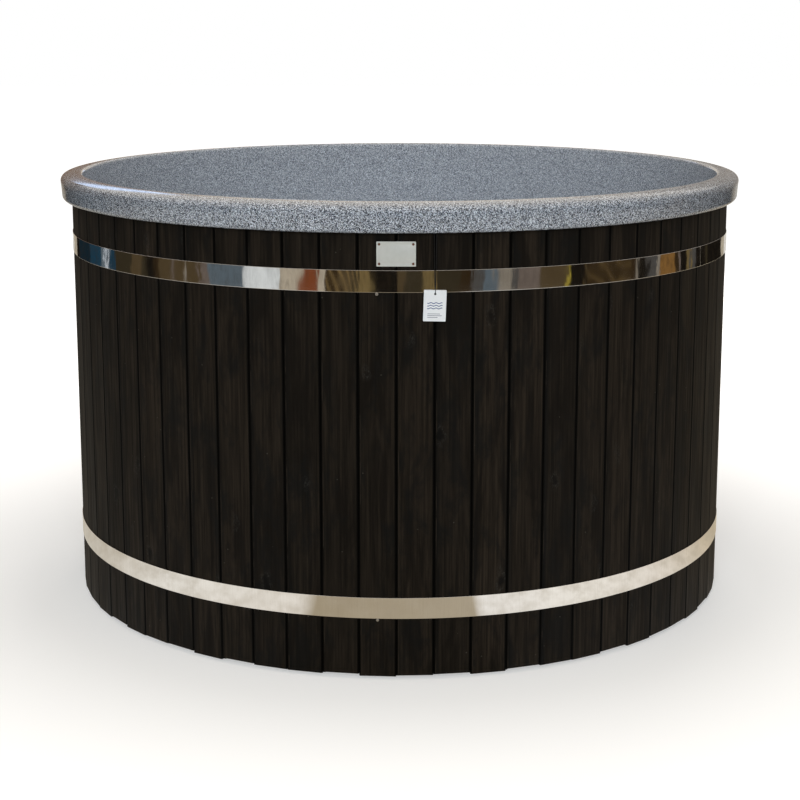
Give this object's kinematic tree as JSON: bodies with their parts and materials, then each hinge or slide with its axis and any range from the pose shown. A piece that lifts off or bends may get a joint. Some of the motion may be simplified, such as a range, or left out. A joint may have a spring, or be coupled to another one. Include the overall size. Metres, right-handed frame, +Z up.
{
  "type": "hot tub",
  "caption": "Round hot tub: a moulded liner with bench and footwell in a jacket of upright wooden staves held by two steel bands.",
  "frame": {"origin": "middle of the base's underside, on the ground, on the tub's axis", "axes": "+Z up the tub's axis, -Y out of the front with the nameplate, +Y out of the back with the pipes, +X to the right seen from the front"},
  "size_m": [1.8, 1.9351, 1.115],
  "materials": {
    "liner_plastic": "speckled granite look, semi-gloss",
    "stained_wood": "near-black stain, satin",
    "band_steel": "bright annealed, mirror-like",
    "zinc_steel": "zinc plated",
    "screw_steel": "stainless, bright",
    "plate_metal": "satin, bare",
    "plate_screw_brass": "coppered, dull",
    "tag_card": "matt white card with plain ruled waves",
    "string_black": "matt twisted cord",
    "base_timber": "rough sawn, treated",
    "deck_plywood": "plywood",
    "drain_plastic": "moulded",
    "strainer_steel": "brushed",
    "seal_rubber": "matt",
    "pipe_plastic": "moulded grey",
    "valve_brass": "cast and machined",
    "seat_plastic": "smooth",
    "ball_chrome": "polished",
    "valve_steel": "plated",
    "grip_vinyl": "dipped vinyl",
    "port_plastic": "moulded",
    "port_steel": "stainless tube"
  },
  "bodies": {
    "tub": {"liner": "liner_plastic", "stave_panel_01": "stained_wood", "stave_panel_02": "stained_wood", "stave_panel_03": "stained_wood", "stave_panel_04": "stained_wood", "stave_panel_05": "stained_wood", "stave_panel_06": "stained_wood", "stave_panel_07": "stained_wood", "stave_panel_08": "stained_wood", "stave_panel_09": "stained_wood", "stave_panel_10": "stained_wood", "stave_panel_11": "stained_wood", "stave_panel_12": "stained_wood", "stave_panel_13": "stained_wood", "stave_panel_14": "stained_wood", "stave_panel_15": "stained_wood", "stave_panel_16": "stained_wood", "stave_panel_17": "stained_wood", "stave_panel_18": "stained_wood", "stave_panel_19": "stained_wood", "stave_panel_20": "stained_wood", "stave_panel_21": "stained_wood", "upper_band": "band_steel", "lower_band": "band_steel", "band_bolts": "zinc_steel", "band_washers": "zinc_steel", "band_nuts": "zinc_steel", "band_support_screws": "screw_steel", "nameplate": "plate_metal", "nameplate_screws": "plate_screw_brass", "tag_nail": "zinc_steel", "base_joists": "base_timber", "deck_left": "deck_plywood", "deck_right": "deck_plywood", "bench_posts": "base_timber", "bench_ring": "deck_plywood", "base_screws": "zinc_steel", "drain_flange": "drain_plastic", "drain_strainer": "strainer_steel", "drain_gasket": "seal_rubber", "drain_locknut": "drain_plastic", "drain_elbow": "pipe_plastic", "drain_pipe": "pipe_plastic", "pipe_grommets": "seal_rubber", "drain_tail": "valve_brass", "valve_body": "valve_brass", "valve_end_cap": "valve_brass", "valve_seats": "seat_plastic", "valve_gland": "valve_brass", "heater_fittings": "port_plastic", "heater_gaskets": "seal_rubber", "heater_locknuts": "port_plastic", "heater_pipes": "port_steel"},
    "valve_handle": {"valve_lever": "valve_steel", "valve_lever_nut": "valve_steel", "valve_stem": "valve_steel", "valve_ball": "ball_chrome", "valve_grip": "grip_vinyl"},
    "tag_string": {"tag_string": "string_black"},
    "hang_tag": {"hang_tag": "tag_card"}
  },
  "joints": [
    {"name": "drain_valve_turn", "type": "hinge", "parent": "tub", "child": "valve_handle", "pos_m": [0.14, 0.935, 0.1], "axis": [0, 0, 1], "range_deg": [0, 90]},
    {"name": "tag_swing", "type": "hinge", "parent": "tub", "child": "tag_string", "pos_m": [0.08723, -0.87172, 1.066], "axis": [0.0996, -0.995, 0], "range_deg": [-20, 20]},
    {"name": "tag_turn", "type": "hinge", "parent": "tag_string", "child": "hang_tag", "pos_m": [0.08723, -0.87172, 0.91], "axis": [0.0996, -0.995, 0], "range_deg": [-30, 30]}
  ]
}
